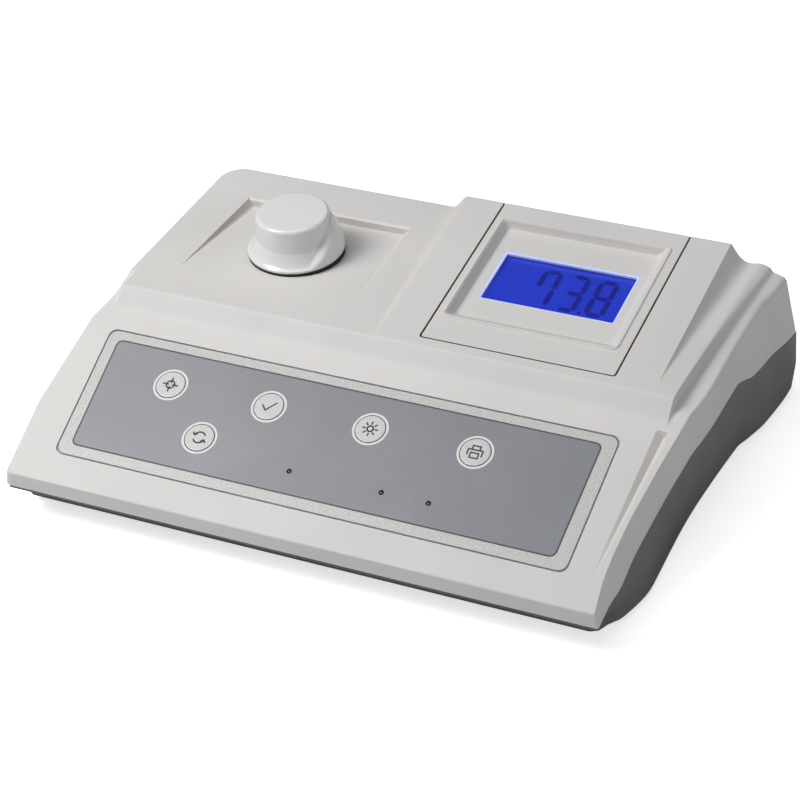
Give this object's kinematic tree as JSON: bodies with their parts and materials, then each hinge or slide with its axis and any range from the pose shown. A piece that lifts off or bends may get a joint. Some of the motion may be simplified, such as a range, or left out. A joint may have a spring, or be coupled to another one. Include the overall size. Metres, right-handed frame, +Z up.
{
  "type": "portable turbidity meter",
  "caption": "Bench turbidity meter with a lift-off cap over its sample well, a sloping membrane keypad, a backlit display and a case in two moulded halves.",
  "frame": {"origin": "middle of the footprint, on the surface that the feet stand on", "axes": "+X to the right seen from the keypad side, +Y to the rear panel, +Z up"},
  "size_m": [0.332, 0.224, 0.0932],
  "materials": {
    "shell_white": "fine moulded satin, warm off-white",
    "shell_grey": "fine moulded satin, dark grey",
    "keypad_film": "printed film, metallic grey with a pale border",
    "key_pale": "satin, pale grey with a fine speckle",
    "cap_white": "glossy moulded, off-white",
    "black_plastic": "moulded satin black",
    "rubber_black": "soft matt rubber",
    "clear_window": "clear polished window",
    "lcd_blue": "backlit blue liquid crystal cell",
    "backlight": "milky light guide",
    "circuit_board": "green solder mask",
    "steel": "plated",
    "aluminium": "brushed and clear anodised",
    "black_anodised": "matt black anodised",
    "copper": "enamelled wire under tape",
    "optical_glass": "clear polished glass",
    "lamp_lens": "tinted lens"
  },
  "bodies": {
    "case": {"upper_housing": "shell_white", "lower_case": "shell_grey", "keypad_overlay": "keypad_film", "key_board": "circuit_board", "indicator_lamp_1": "lamp_lens", "indicator_lamp_2": "lamp_lens", "indicator_lamp_3": "lamp_lens", "key_board_screw_1": "steel", "key_board_screw_2": "steel", "key_board_screw_3": "steel", "key_board_screw_4": "steel", "display_bezel": "shell_white", "display_window": "clear_window", "lcd_cell": "lcd_blue", "lcd_backlight": "backlight", "display_board": "circuit_board", "display_screw_1": "steel", "display_screw_2": "steel", "display_screw_3": "steel", "display_screw_4": "steel", "well_collar": "black_plastic", "sample_well": "black_plastic", "optics_block": "black_anodised", "collimating_lens": "optical_glass", "lamp_house": "aluminium", "source_lamp": "optical_glass", "straight_detector": "steel", "scatter_detector": "steel", "main_board": "circuit_board", "main_board_screw_1": "steel", "main_board_screw_2": "steel", "main_board_screw_3": "steel", "main_board_screw_4": "steel", "power_board": "circuit_board", "power_board_screw_1": "steel", "power_board_screw_2": "steel", "transformer_core": "steel", "transformer_winding": "copper", "rear_panel": "aluminium", "power_inlet": "black_plastic", "rocker_frame": "black_plastic", "data_port": "steel", "foot_front_left": "rubber_black", "foot_front_right": "rubber_black", "foot_rear_left": "rubber_black", "foot_rear_right": "rubber_black", "case_screw_1": "steel", "case_screw_2": "steel", "case_screw_3": "steel", "case_screw_4": "steel"},
    "cap": {"sample_cap": "cap_white"},
    "calibrate_key": {"key_calibrate": "key_pale"},
    "mode_key": {"key_mode": "key_pale"},
    "confirm_key": {"key_confirm": "key_pale"},
    "backlight_key": {"key_backlight": "key_pale"},
    "print_key": {"key_print": "key_pale"},
    "rocker": {"power_rocker": "black_plastic"}
  },
  "joints": [
    {"name": "cap_lift", "type": "slide", "parent": "case", "child": "cap", "axis": [0, 0, 1], "range_m": [0, 0.06]},
    {"name": "calibrate_press", "type": "slide", "parent": "case", "child": "calibrate_key", "axis": [0, 0.3486, -0.9373], "range_m": [0, 0.0006], "stiffness_N_per_m": 600, "springref_m": -0.0005},
    {"name": "mode_press", "type": "slide", "parent": "case", "child": "mode_key", "axis": [0, 0.3486, -0.9373], "range_m": [0, 0.0006], "stiffness_N_per_m": 600, "springref_m": -0.0005},
    {"name": "confirm_press", "type": "slide", "parent": "case", "child": "confirm_key", "axis": [0, 0.3486, -0.9373], "range_m": [0, 0.0006], "stiffness_N_per_m": 600, "springref_m": -0.0005},
    {"name": "backlight_press", "type": "slide", "parent": "case", "child": "backlight_key", "axis": [0, 0.3486, -0.9373], "range_m": [0, 0.0006], "stiffness_N_per_m": 600, "springref_m": -0.0005},
    {"name": "print_press", "type": "slide", "parent": "case", "child": "print_key", "axis": [0, 0.3486, -0.9373], "range_m": [0, 0.0006], "stiffness_N_per_m": 600, "springref_m": -0.0005},
    {"name": "rocker_tip", "type": "hinge", "parent": "case", "child": "rocker", "pos_m": [0.041, 0.10715, 0.0363], "axis": [1, 0, 0], "range_deg": [-18, 0]}
  ]
}
